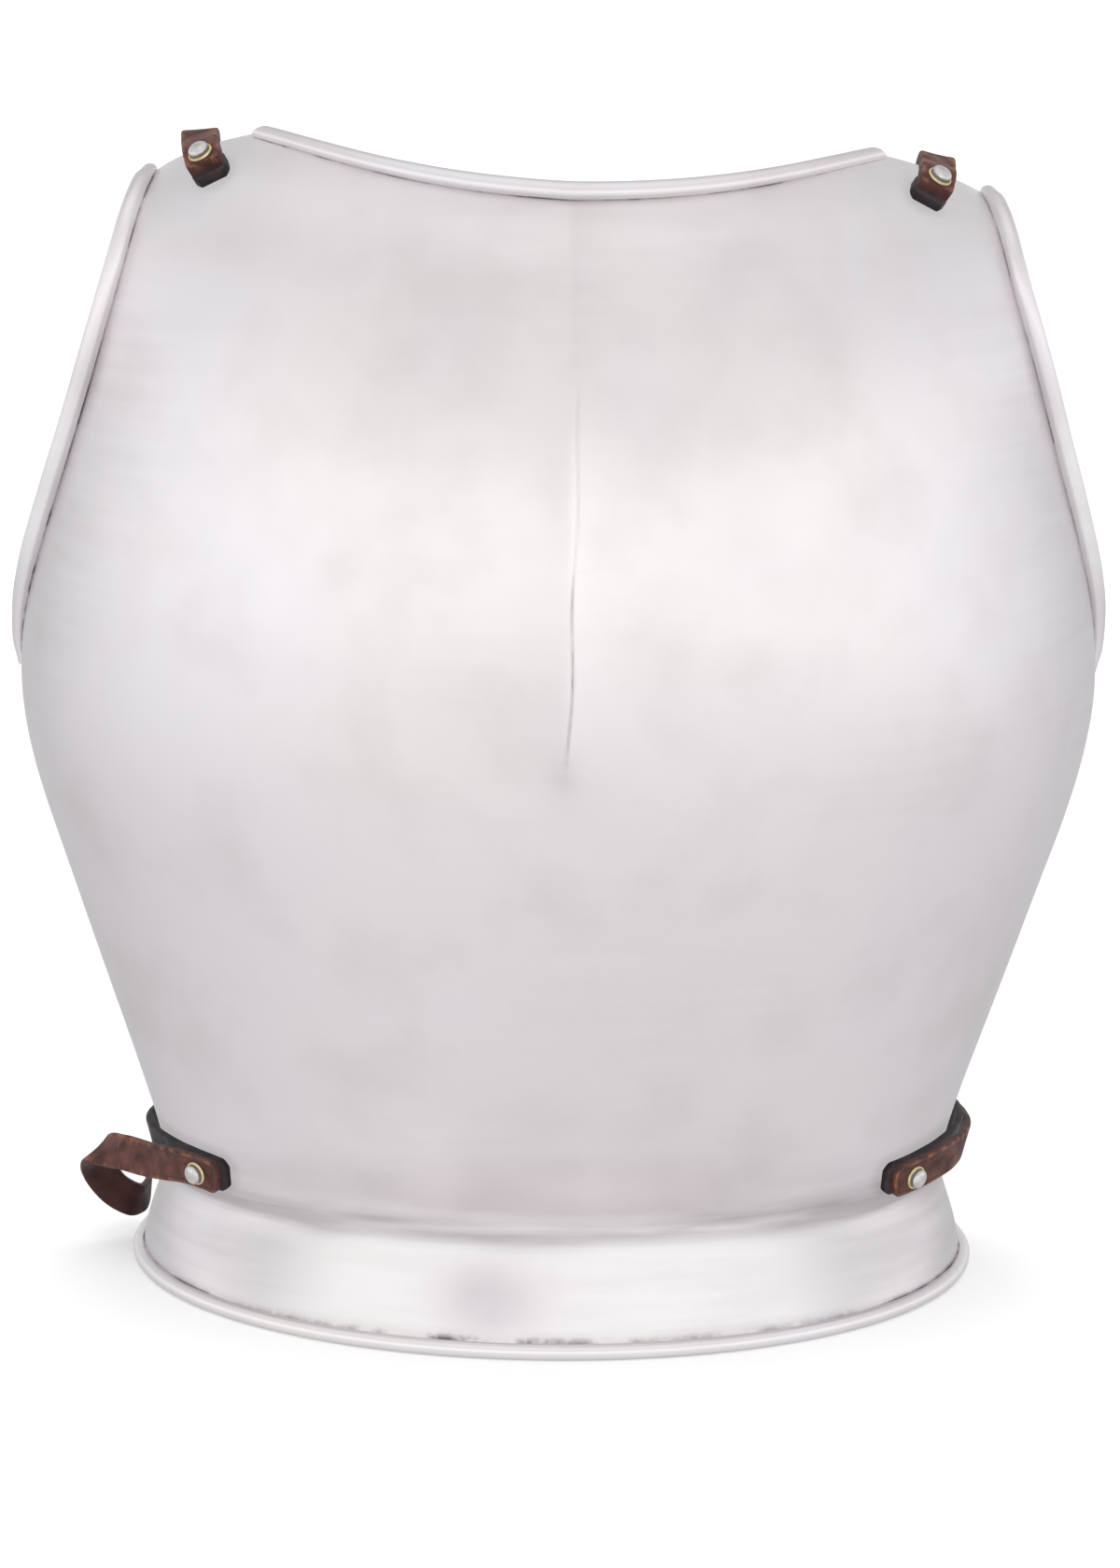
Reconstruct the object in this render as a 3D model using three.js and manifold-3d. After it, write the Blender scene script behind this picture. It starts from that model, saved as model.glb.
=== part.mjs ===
// Steel breastplate of a cuirass: one raised steel plate with rolled edges and a flared waist flange, with leather
// straps on both shoulders and both sides of the waist, each held by a domed rivet on a brass washer.
// Millimetres, +Z up. The chest faces -Y, left is -X, and the plate stands on the roll of its flange.
import * as THREE from 'three';
import * as BufferGeometryUtils from 'three/addons/utils/BufferGeometryUtils.js';
import Module from 'manifold-3d';

const wasm = await Module();
wasm.setup();

// Driving dimensions
const PLATE_THICKNESS = 1.5;
const NECK_HEIGHT = 394;
const NECK_END = 0.7;
const NECK_CURVE = 2.2;
const ARMPIT_HEIGHT = 219;
const STANDING_SHIFT = 70.26;
const ROW_STEP = 24;

// Edge rolls: radii at equal steps from the first end to the last, and the number of sides. The rim's roll lies level,
// on a flat side.
const NECK_ROLL = { radii: [2.6, 3.1, 3.3, 3.1, 2.6], sides: 8 };
const ARM_ROLL = { radii: [1.9, 3.3, 3.6, 3.5, 3.4, 3.3, 3.2], sides: 8 };
const RIM_ROLL = { radii: [2.7, 2.7], sides: 10, level: true };

const STRAP_WIDTH = 12.7;
const STRAP_STEP = 4;
const CHAMFER = { length: 3.2, narrow: 0.62 };
const SHOULDER_LEATHER = 4.2;
const SHOULDER_GAP = 0.5;
const WAIST_LEATHER = 2.6;
const RIVET = { shank: 2, hole: 2.3, head: 3.5, dome: 2.4, tail: 3.3, tailHeight: 1.2, sides: 14 };
const WASHER = { outer: 4.2, inner: 2.3, thickness: 0.9, sides: 18 };
const CLEARANCE = 0.3;

// Where the rivets sit on the plate, and how far the lower leather lies off it.
const SHOULDER_RIVET = { across: 0.784, height: 398.3, lean: 0.0036, lowerGap: 1.15 };
const WAIST_RIVET = { across: 0.6, height: 45, lowerGap: 1.6 };
// How far the waist's straps climb from the rivet to the plate's side edge.
const WAIST_CLIMB = { left: 1.6, right: 6 };

// The plate's form, a row for each section, from the flange's rim up to the shoulders.
// height and front: height and depth on the centre line. edgeX, edgeY: the section's end, on the rim's end, the
// side edge or the arm opening. edgeDrop: how far that end lies below the centre. wrap: degrees turned from the
// centre line to the end. ridge: how far the keel stands out.
const SECTIONS = [
  { height: 2.7, front: -125.5, edgeX: 144.5, edgeY: 12, edgeDrop: 0, wrap: 104, ridge: 0 },
  { height: 18, front: -111.5, edgeX: 142.5, edgeY: 2, edgeDrop: -1, wrap: 102, ridge: 0 },
  { height: 28, front: -102.5, edgeX: 139.6, edgeY: -5, edgeDrop: -4, wrap: 100, ridge: 0 },
  { height: 36, front: -98, edgeX: 138.8, edgeY: -9, edgeDrop: -5, wrap: 99, ridge: 0 },
  { height: 45, front: -99.5, edgeX: 141, edgeY: -7, edgeDrop: -5, wrap: 98, ridge: 0 },
  { height: 60, front: -107, edgeX: 146.6, edgeY: -2, edgeDrop: -4, wrap: 96, ridge: 0 },
  { height: 100, front: -126, edgeX: 160, edgeY: 3, edgeDrop: 0, wrap: 94, ridge: 0 },
  { height: 150, front: -142.5, edgeX: 176.5, edgeY: 4, edgeDrop: 0, wrap: 93, ridge: 0 },
  { height: 190, front: -150.5, edgeX: 188, edgeY: 3, edgeDrop: 2, wrap: 92, ridge: 0 },
  { height: 219, front: -153, edgeX: 191.5, edgeY: 0, edgeDrop: 4, wrap: 90, ridge: 2.2 },
  { height: 245, front: -153, edgeX: 189, edgeY: -13, edgeDrop: 7, wrap: 84, ridge: 3.6 },
  { height: 268, front: -151, edgeX: 184, edgeY: -25, edgeDrop: 10, wrap: 78, ridge: 4 },
  { height: 305, front: -145, edgeX: 173, edgeY: -43, edgeDrop: 12, wrap: 68, ridge: 3.4 },
  { height: 337, front: -135, edgeX: 163, edgeY: -54, edgeDrop: 12, wrap: 60, ridge: 1.8 },
  { height: 365, front: -121.5, edgeX: 154, edgeY: -56, edgeDrop: 10, wrap: 54, ridge: 1.4 },
  { height: 389, front: -104, edgeX: 146.5, edgeY: -48, edgeDrop: 11, wrap: 50, ridge: 1.2 },
  { height: 415, front: -70, edgeX: 140.5, edgeY: -24, edgeDrop: 24.5, wrap: 49, ridge: 1 },
];
const RIDGE_HALF_WIDTH = 27;
// The hand-raised plate's left shoulder stands higher than its even form, and its right corner lower.
const UNEVEN = { from: 335, full: 400, left: 7.2, fall: 0.85, right: -3.2 };
// The shoulders' outer corners stand out, most at the top edge.
const CORNER = { from: 365, left: -2, right: 4, power: 10 };
const RIM_HEIGHT = SECTIONS[0].height;
const TOP_HEIGHT = SECTIONS.at(-1).height;

// Natural cubic spline through (xs, ys), straight beyond its ends.
function spline(xs, ys) {
  const count = xs.length;
  const bend = new Array(count).fill(0);
  const share = new Array(count).fill(0);
  for (let i = 1; i < count - 1; i++) {
    const before = xs[i] - xs[i - 1];
    const after = xs[i + 1] - xs[i];
    const turn = (ys[i + 1] - ys[i]) / after - (ys[i] - ys[i - 1]) / before;
    const pivot = 2 * (before + after) - before * share[i - 1];
    share[i] = after / pivot;
    bend[i] = (6 * turn - before * bend[i - 1]) / pivot;
  }
  for (let i = count - 2; i > 0; i--) bend[i] -= share[i] * bend[i + 1];
  const inside = (x) => {
    let i = 1;
    while (i < count - 1 && x > xs[i]) i++;
    const step = xs[i] - xs[i - 1];
    const left = (xs[i] - x) / step;
    const right = (x - xs[i - 1]) / step;
    const arch = (left ** 3 - left) * bend[i - 1] + (right ** 3 - right) * bend[i];
    return left * ys[i - 1] + right * ys[i] + (arch * step * step) / 6;
  };
  const nudge = 0.01;
  return (x) => {
    const held = Math.min(Math.max(x, xs[0]), xs[count - 1]);
    if (held === x) return inside(x);
    const inner = held + Math.sign(held - x) * nudge;
    return inside(held) + ((inside(held) - inside(inner)) / (held - inner)) * (x - held);
  };
}

const column = (name) => spline(SECTIONS.map((row) => row.height), SECTIONS.map((row) => row[name]));
const FORM = Object.fromEntries(
  ['front', 'edgeX', 'edgeY', 'edgeDrop', 'wrap', 'ridge'].map((name) => [name, column(name)]),
);

function shoulderLift(across, height) {
  const reach = Math.abs(across);
  const lift = across < 0 ? UNEVEN.left * reach * (1 - UNEVEN.fall * reach ** 8) : UNEVEN.right * reach ** 10;
  return lift * THREE.MathUtils.smoothstep(height, UNEVEN.from, UNEVEN.full);
}

function cornerOut(across, height) {
  const out = (across < 0 ? CORNER.left : CORNER.right) * Math.abs(across) ** CORNER.power;
  return out * THREE.MathUtils.smoothstep(height, CORNER.from, TOP_HEIGHT);
}

// Point of the outer face. across runs from -1 at the section's left end over 0 at the keel to 1 at its right end.
function formPoint(across, height) {
  const wrap = THREE.MathUtils.degToRad(FORM.wrap(height));
  const turn = across * wrap;
  const x = (FORM.edgeX(height) * Math.sin(turn)) / Math.sin(wrap) + cornerOut(across, height);
  const bow = (Math.cos(turn) - Math.cos(wrap)) / (1 - Math.cos(wrap));
  const y = FORM.edgeY(height) + (FORM.front(height) - FORM.edgeY(height)) * bow;
  const keel = Math.max(0, FORM.ridge(height)) * Math.max(0, 1 - Math.abs(x) / RIDGE_HALF_WIDTH) ** 2;
  const z = height - FORM.edgeDrop(height) * across * across + shoulderLift(across, height);
  return new THREE.Vector3(x, y - keel + STANDING_SHIFT, z);
}

// Outer face's point, outward normal, direction to the right along the section and direction up the face.
function formFrame(across, height) {
  const step = { across: 0.004, height: 0.4 };
  const right = formPoint(across + step.across, height).sub(formPoint(across - step.across, height)).normalize();
  const rise = formPoint(across, height + step.height).sub(formPoint(across, height - step.height)).normalize();
  const normal = new THREE.Vector3().crossVectors(right, rise).normalize();
  return { point: formPoint(across, height), normal, right, up: new THREE.Vector3().crossVectors(normal, right) };
}

// Closed solid through rings of points, each ring given anticlockwise seen from the last ring. Each four-sided face
// between two rings is split along its shorter diagonal.
function loft(rings) {
  const count = rings[0].length;
  const points = rings.flat();
  const index = [];
  for (let j = 0; j + 1 < rings.length; j++) {
    for (let i = 0; i < count; i++) {
      const a = j * count + i;
      const b = j * count + ((i + 1) % count);
      const c = b + count;
      const d = a + count;
      const split = points[a].distanceTo(points[c]) < points[b].distanceTo(points[d]);
      index.push(...(split ? [a, b, c, a, c, d] : [a, b, d, b, c, d]));
    }
  }
  const cap = (start, flip) => {
    for (let low = 0, high = count - 1; low + 1 < high; low++, high--) {
      const fan = [[low, high, low + 1]];
      if (high - 1 > low + 1) fan.push([low + 1, high, high - 1]);
      for (const [a, b, c] of fan) index.push(start + a, start + (flip ? c : b), start + (flip ? b : c));
    }
  };
  cap(0, false);
  cap((rings.length - 1) * count, true);
  const geometry = new THREE.BufferGeometry();
  geometry.setAttribute('position', new THREE.Float32BufferAttribute(points.flatMap((p) => p.toArray()), 3));
  geometry.setIndex(index);
  return geometry;
}

// Boolean joins and cuts
function toSolid(geometry) {
  const bare = geometry.clone();
  bare.deleteAttribute('normal');
  bare.deleteAttribute('uv');
  const merged = BufferGeometryUtils.mergeVertices(bare, 1e-4);
  const corners = merged.index.array;
  const kept = [];
  for (let i = 0; i < corners.length; i += 3) {
    const [a, b, c] = corners.slice(i, i + 3);
    if (a !== b && b !== c && c !== a) kept.push(a, b, c);
  }
  return new wasm.Manifold(new wasm.Mesh({
    numProp: 3,
    vertProperties: Float32Array.from(merged.attributes.position.array),
    triVerts: Uint32Array.from(kept),
  }));
}

function toGeometry(solid) {
  const mesh = solid.getMesh();
  const geometry = new THREE.BufferGeometry();
  geometry.setAttribute('position', new THREE.BufferAttribute(mesh.vertProperties, 3));
  geometry.setIndex(new THREE.BufferAttribute(mesh.triVerts, 1));
  geometry.computeVertexNormals();
  return geometry;
}

// Plate
function spread(from, to, count) {
  return Array.from({ length: count }, (_, i) => THREE.MathUtils.lerp(from, to, (i + 1) / count));
}

function plateColumns() {
  const half = [...spread(0, NECK_END, 12), ...spread(NECK_END, 1, 5)];
  return [...half.map((across) => -across).reverse(), 0, ...half];
}

function plateRows() {
  const rows = [RIM_HEIGHT];
  for (let i = 0; i + 1 < SECTIONS.length; i++) {
    const [low, high] = [SECTIONS[i].height, SECTIONS[i + 1].height];
    rows.push(...spread(low, high, Math.ceil((high - low) / ROW_STEP)));
  }
  return rows;
}

// Height of the plate's top edge: the neck opening's dip between the shoulders, and the shoulders' edge beside it.
function topHeight(across) {
  const reach = Math.min(1, Math.abs(across) / NECK_END);
  return NECK_HEIGHT + (TOP_HEIGHT - NECK_HEIGHT) * reach ** NECK_CURVE;
}

function plateShell() {
  const trimFrom = 337;
  const rings = plateRows().map((row) => {
    const frames = plateColumns().map((across) => {
      const lift = Math.max(0, row - trimFrom) / (TOP_HEIGHT - trimFrom);
      return formFrame(across, row > trimFrom ? THREE.MathUtils.lerp(trimFrom, topHeight(across), lift) : row);
    });
    const outer = frames.map((frame) => frame.point);
    const inner = frames.map((frame) => frame.point.clone().addScaledVector(frame.normal, -PLATE_THICKNESS));
    return [...outer, ...inner.reverse()];
  });
  return loft(rings);
}

// Tube along an edge, lying on the plate's outer face.
function edgeRoll(stations, { radii, sides, level: levelled = false }) {
  const radiusAt = spline(radii.map((_, i) => i / (radii.length - 1)), radii);
  const sizes = stations.map((_, i) => radiusAt(i / (stations.length - 1)));
  const frames = stations.map(([across, height]) => formFrame(across, height));
  const centres = frames.map((frame, i) => {
    const outward = levelled ? frame.normal.clone().setZ(0).normalize() : frame.normal;
    const centre = frame.point.clone().addScaledVector(outward, sizes[i] - PLATE_THICKNESS);
    return levelled ? centre.setZ(sizes[i] * Math.cos(Math.PI / sides)) : centre;
  });
  const rings = centres.map((centre, i) => {
    const ahead = centres[Math.min(i + 1, centres.length - 1)];
    const behind = centres[Math.max(i - 1, 0)];
    const along = ahead.clone().sub(behind).normalize();
    const level = new THREE.Vector3(0, 0, 1).cross(along).normalize();
    const steep = along.clone().cross(level);
    return Array.from({ length: sides }, (_, k) => {
      const angle = ((k + 0.5) / sides) * 2 * Math.PI - Math.PI / 2;
      return centre.clone()
        .addScaledVector(level, sizes[i] * Math.cos(angle))
        .addScaledVector(steep, sizes[i] * Math.sin(angle));
    });
  });
  return loft(rings);
}

function neckRoll() {
  const stations = [-NECK_END, ...spread(-NECK_END, NECK_END, 20)];
  return edgeRoll(stations.map((across) => [across, topHeight(across)]), NECK_ROLL);
}

function armRoll(side) {
  const stations = [ARMPIT_HEIGHT, ...spread(ARMPIT_HEIGHT, TOP_HEIGHT, 18)];
  return edgeRoll(stations.map((height) => [side, height]), ARM_ROLL);
}

function rimRoll() {
  const stations = [-1, ...spread(-1, 1, 37)];
  return edgeRoll(stations.map((across) => [across, RIM_HEIGHT]), RIM_ROLL);
}

// Leather, each strap a flat strip along a few stations: a point of its middle and the direction of its width.
const onPlate = (across, height, off) => {
  const frame = formFrame(across, height);
  return { point: frame.point.addScaledVector(frame.normal, off), width: frame.up };
};
const overShoulder = (across, height, off) => {
  const frame = formFrame(across, height);
  return { point: frame.point.addScaledVector(frame.normal, off), width: frame.right };
};
const inTheAir = (x, y, z, lean) => {
  const angle = THREE.MathUtils.degToRad(lean);
  return {
    point: new THREE.Vector3(x, y + STANDING_SHIFT, z),
    width: new THREE.Vector3(Math.sin(angle), 0, Math.cos(angle)),
  };
};

function strap(stations, thickness) {
  const path = new THREE.CatmullRomCurve3(stations.map((station) => station.point));
  const widths = new THREE.CatmullRomCurve3(stations.map((station) => station.width));
  const length = path.getLength();
  const places = [0, ...spread(CHAMFER.length, length - CHAMFER.length, Math.ceil(length / STRAP_STEP)), length];
  places.splice(1, 0, CHAMFER.length);
  const rings = places.map((place) => {
    const u = place / length;
    const centre = path.getPointAt(u);
    const along = path.getTangentAt(u);
    const width = widths.getPoint(path.getUtoTmapping(u)).projectOnPlane(along).normalize();
    const out = along.clone().cross(width);
    const fromEnd = Math.min(place, length - place) / CHAMFER.length;
    const half = (STRAP_WIDTH / 2) * Math.min(1, CHAMFER.narrow + (1 - CHAMFER.narrow) * fromEnd);
    const corner = (w, o) => centre.clone().addScaledVector(width, w * half).addScaledVector(out, (o * thickness) / 2);
    return [corner(1, 1), corner(-1, 1), corner(-1, -1), corner(1, -1)];
  });
  return loft(rings);
}

// At each shoulder a strap lies on a short backing under one rivet, goes over the shoulder's edge and hangs behind it.
// rise: form height above the rivet. off: distance from the plate's outer face. outward, behind and above: distances
// of the hanging part from the shoulder's edge. level: how far its width turns from the edge's slope to level.
const LOWER_SHOULDER = SHOULDER_RIVET.lowerGap + SHOULDER_LEATHER / 2;
const UPPER_SHOULDER = LOWER_SHOULDER + SHOULDER_LEATHER + SHOULDER_GAP;
const SHOULDER_BACKING = [
  { rise: -3.5, off: LOWER_SHOULDER },
  { rise: 0, off: LOWER_SHOULDER },
  { rise: 3.4, off: LOWER_SHOULDER },
];
const SHOULDER_STRAP = [
  { rise: -2.8, off: UPPER_SHOULDER },
  { rise: 0, off: UPPER_SHOULDER },
  { rise: 4.4, off: UPPER_SHOULDER - 0.1 },
  { rise: 9, off: UPPER_SHOULDER - 1.7 },
];
const HANGING = {
  left: {
    level: 0.7,
    outward: 1.6,
    stations: [
      { behind: 0.5, above: 3.4 },
      { behind: 7.4, above: 1.2 },
      { behind: 10.4, above: -5 },
      { behind: 10.4, above: -20 },
    ],
  },
  right: {
    level: 0.3,
    outward: 1.6,
    stations: [
      { behind: 0.5, above: 3 },
      { behind: 6.4, above: -0.2 },
      { behind: 8.2, above: -7 },
      { behind: 8.2, above: -20 },
    ],
  },
};
function shoulderSpot(side, rise) {
  return [side * (SHOULDER_RIVET.across + SHOULDER_RIVET.lean * rise), SHOULDER_RIVET.height + rise];
}
function shoulderLying(side, rows) {
  return rows.map(({ rise, off }) => overShoulder(...shoulderSpot(side, rise), off));
}
function shoulderHanging(side, { level, outward, stations }) {
  const edge = formFrame(...shoulderSpot(side, TOP_HEIGHT - SHOULDER_RIVET.height));
  const width = edge.right.clone().lerp(new THREE.Vector3(1, 0, 0), level);
  return stations.map(({ behind, above }) => (
    { point: edge.point.clone().add(new THREE.Vector3(side * outward, behind, above)), width }));
}
function shoulderStrap(side, hanging) {
  return strap([...shoulderLying(side, SHOULDER_STRAP), ...shoulderHanging(side, hanging)], SHOULDER_LEATHER);
}
function shoulderBacking(side) {
  return strap(shoulderLying(side, SHOULDER_BACKING), SHOULDER_LEATHER);
}

// At the waist a lower strap lies along the plate and hooks round its side edge, under an upper strap.
const LOWER_WAIST = WAIST_RIVET.lowerGap + WAIST_LEATHER / 2;
const UPPER_WAIST = LOWER_WAIST + WAIST_LEATHER + CLEARANCE;
const LOWER_STRAP = [
  { across: 0.54, rise: -0.5, off: LOWER_WAIST },
  { across: 0.6, rise: 0, off: LOWER_WAIST },
  { across: 0.7, rise: -0.5, off: LOWER_WAIST },
  { across: 0.8, rise: -1.5, off: LOWER_WAIST },
  { across: 0.9, rise: -3, off: LOWER_WAIST + 0.2 },
  { across: 1, rise: -4.5, off: LOWER_WAIST + 0.3 },
  { across: 1.04, rise: -5, off: LOWER_WAIST - 0.6 },
  { across: 1.06, rise: -5, off: -1.5 },
  { across: 1.03, rise: -5, off: -4.6 },
  { across: 0.98, rise: -5, off: -4.6 },
  { across: 0.92, rise: -5, off: -4.6 },
];
const RIGHT_STRAP = [
  { across: 0.55, rise: -0.5, off: UPPER_WAIST },
  { across: 0.6, rise: 0, off: UPPER_WAIST },
  { across: 0.68, rise: -0.5, off: UPPER_WAIST + 0.3 },
  { across: 0.78, rise: -2, off: UPPER_WAIST + 0.6 },
  { across: 0.88, rise: -4, off: UPPER_WAIST + 0.7 },
  { across: 1, rise: -6, off: UPPER_WAIST + 0.6 },
  { across: 1.07, rise: -6.5, off: UPPER_WAIST - 1 },
  { across: 1.115, rise: -6.5, off: -1.5 },
  { across: 1.08, rise: -6.5, off: -7 },
  { across: 1.02, rise: -6.5, off: -9 },
  { across: 0.94, rise: -6.5, off: -9 },
];
const LEFT_STRAP_START = [
  { across: 0.55, rise: -0.5, off: UPPER_WAIST },
  { across: 0.6, rise: 0, off: UPPER_WAIST },
  { across: 0.66, rise: -1, off: UPPER_WAIST + 0.5 },
];
const LEFT_STRAP_CURL = [
  { x: -145, y: -42, z: 42.5, lean: 8 },
  { x: -156, y: -29, z: 41, lean: 26 },
  { x: -165, y: -17, z: 37.5, lean: 46 },
  { x: -166, y: -8, z: 28, lean: 42 },
  { x: -160.5, y: -6.5, z: 19.5, lean: 32 },
  { x: -153.5, y: -4, z: 14.5, lean: 22 },
  { x: -150, y: 5, z: 13, lean: 10 },
  { x: -149.5, y: 16, z: 13, lean: 4 },
];
function waistStrap(side, rows) {
  const climb = side < 0 ? WAIST_CLIMB.left : WAIST_CLIMB.right;
  return rows.map(({ across, rise, off }) => {
    const share = Math.max(0, across - WAIST_RIVET.across) / (1 - WAIST_RIVET.across);
    return onPlate(side * across, WAIST_RIVET.height + rise + climb * share, off);
  });
}
const lowerStrap = (side) => strap(waistStrap(side, LOWER_STRAP), WAIST_LEATHER);
const rightStrap = () => strap(waistStrap(1, RIGHT_STRAP), WAIST_LEATHER);
const leftStrap = () => strap([
  ...waistStrap(-1, LEFT_STRAP_START),
  ...LEFT_STRAP_CURL.map(({ x, y, z, lean }) => inTheAir(x, y, z, lean)),
], WAIST_LEATHER);

// Rivets, about +Y before they are turned to the plate's normal, their tail peened over inside the plate.
function rivet(stack) {
  const tailTop = -PLATE_THICKNESS - 3 * CLEARANCE;
  const seat = stack + 2 * CLEARANCE + WASHER.thickness;
  const dome = [0.3, 0.55, 0.78, 0.93].map((part) => {
    const angle = (part * Math.PI) / 2;
    return [RIVET.head * Math.cos(angle), seat + 0.5 + (RIVET.dome - 0.5) * Math.sin(angle)];
  });
  const profile = [
    [0, tailTop - RIVET.tailHeight],
    [RIVET.tail * 0.8, tailTop - RIVET.tailHeight],
    [RIVET.tail, tailTop - RIVET.tailHeight * 0.5],
    [RIVET.tail, tailTop],
    [RIVET.shank, tailTop],
    [RIVET.shank, seat],
    [RIVET.head, seat],
    [RIVET.head, seat + 0.5],
    ...dome,
    [0, seat + RIVET.dome],
  ];
  return new THREE.LatheGeometry(profile.map(([r, along]) => new THREE.Vector2(r, along)), RIVET.sides);
}

function washer(stack) {
  const low = stack + CLEARANCE;
  const profile = [
    [WASHER.inner, low],
    [WASHER.outer, low],
    [WASHER.outer, low + WASHER.thickness * 0.6],
    [WASHER.outer - 0.4, low + WASHER.thickness],
    [WASHER.inner, low + WASHER.thickness],
    [WASHER.inner, low],
  ];
  return new THREE.LatheGeometry(profile.map(([r, along]) => new THREE.Vector2(r, along)), WASHER.sides);
}

function rivetHole() {
  return new THREE.CylinderGeometry(RIVET.hole, RIVET.hole, 30, RIVET.sides);
}

// Turns a shape made about +Y to stand on the plate at a rivet's place.
function placed(geometry, across, height) {
  const { point, normal } = formFrame(across, height);
  const turn = new THREE.Quaternion().setFromUnitVectors(new THREE.Vector3(0, 1, 0), normal);
  return geometry.applyMatrix4(new THREE.Matrix4().compose(point, turn, new THREE.Vector3(1, 1, 1)));
}

const PLACES = [
  { name: 'shoulder_left', side: -1, at: SHOULDER_RIVET, stack: UPPER_SHOULDER + SHOULDER_LEATHER / 2 },
  { name: 'shoulder_right', side: 1, at: SHOULDER_RIVET, stack: UPPER_SHOULDER + SHOULDER_LEATHER / 2 },
  { name: 'waist_left', side: -1, at: WAIST_RIVET, stack: UPPER_WAIST + WAIST_LEATHER / 2 },
  { name: 'waist_right', side: 1, at: WAIST_RIVET, stack: UPPER_WAIST + WAIST_LEATHER / 2 },
];
const holes = Object.fromEntries(PLACES.map(({ name, side, at }) => (
  [name, toSolid(placed(rivetHole(), side * at.across, at.height))])));

// Assembly
const PAINTS = {
  steel: { color: 0xcfcacc, roughness: 0.3, metalness: 1 },
  leather: { color: 0x57301f, roughness: 0.7, metalness: 0 },
  darkLeather: { color: 0x2a2022, roughness: 0.75, metalness: 0 },
  brass: { color: 0xd9c48f, roughness: 0.35, metalness: 1 },
};
const group = new THREE.Group();
function addPiece(name, solid, paint) {
  const mesh = new THREE.Mesh(toGeometry(solid), new THREE.MeshStandardMaterial(PAINTS[paint]));
  mesh.name = name;
  group.add(mesh);
}

const rolls = [neckRoll(), armRoll(-1), armRoll(1), rimRoll()].map(toSolid);
const plate = rolls.reduce((solid, roll) => solid.add(roll), toSolid(plateShell()));
addPiece('breastplate', Object.values(holes).reduce((solid, hole) => solid.subtract(hole), plate), 'steel');
for (const [side, hand] of [[-1, 'left'], [1, 'right']]) {
  const straps = [
    ['shoulder_strap', shoulderStrap(side, HANGING[hand]), 'shoulder', 'leather'],
    ['shoulder_backing', shoulderBacking(side), 'shoulder', 'darkLeather'],
    ['waist_strap', side < 0 ? leftStrap() : rightStrap(), 'waist', 'leather'],
    ['waist_backing', lowerStrap(side), 'waist', 'darkLeather'],
  ];
  for (const [name, shape, place, paint] of straps) {
    addPiece(`${name}_${hand}`, toSolid(shape).subtract(holes[`${place}_${hand}`]), paint);
  }
}
for (const { name, side, at, stack } of PLACES) {
  addPiece(`rivet_${name}`, toSolid(placed(rivet(stack), side * at.across, at.height)), 'steel');
  addPiece(`washer_${name}`, toSolid(placed(washer(stack), side * at.across, at.height)), 'brass');
}

export default group;
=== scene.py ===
"""Looks of a steel breastplate with leather straps.

Satin steel, worn leather, rivets and washers stand in a pale studio. Lengths are in millimetres up to MM,
which turns a finished mesh into metres. The chest faces -Y, left is -X.
"""

import math
from collections import namedtuple

import bpy
import numpy as np
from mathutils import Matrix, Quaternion, Vector, noise


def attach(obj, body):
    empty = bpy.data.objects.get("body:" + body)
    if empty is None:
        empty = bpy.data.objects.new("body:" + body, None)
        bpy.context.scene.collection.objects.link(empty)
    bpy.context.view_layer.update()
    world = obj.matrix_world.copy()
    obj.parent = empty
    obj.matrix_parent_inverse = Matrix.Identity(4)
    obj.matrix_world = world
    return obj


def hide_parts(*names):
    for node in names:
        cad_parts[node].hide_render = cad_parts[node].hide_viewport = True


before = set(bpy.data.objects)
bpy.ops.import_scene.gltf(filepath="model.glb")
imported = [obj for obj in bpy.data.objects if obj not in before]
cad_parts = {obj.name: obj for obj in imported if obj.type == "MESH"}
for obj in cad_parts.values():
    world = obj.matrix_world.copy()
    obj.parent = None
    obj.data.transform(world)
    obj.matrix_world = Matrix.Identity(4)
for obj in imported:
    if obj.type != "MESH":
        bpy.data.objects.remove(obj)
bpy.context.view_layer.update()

MM = 0.001
BODY = "root"

# Camera at the photograph's viewing angle, in degrees and metres, its lens and sensor in millimetres
CAMERA_AZIMUTH = -1.5
CAMERA_ELEVATION = 13.6
CAMERA_ROLL = 0.8
CAMERA_DISTANCE = 1.5
CAMERA_TARGET = Vector((-0.0008, 0.0003, 0.1885))
CAMERA_LENS = 100.1
CAMERA_SENSOR = 36

# Plate, the same form as the CAD part's
PLATE_THICKNESS = 1.5
NECK_HEIGHT = 394
NECK_END = 0.7
NECK_CURVE = 2.2
ARMPIT_HEIGHT = 219
STANDING_SHIFT = 70.26
TRIM_FROM = 337
RIDGE_HALF_WIDTH = 27

# The hand-raised plate's left shoulder stands higher than its even form, and its right corner lower
UNEVEN_FROM = 335
UNEVEN_FULL = 400
LEFT_LIFT = 7.2
LEFT_FALL = 0.85
LEFT_FALL_POWER = 8
RIGHT_LIFT = -3.2
RIGHT_LIFT_POWER = 10

# The shoulders' outer corners stand out, most at the top edge
CORNER_FROM = 365
LEFT_CORNER = -2
RIGHT_CORNER = 4
CORNER_POWER = 10

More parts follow.
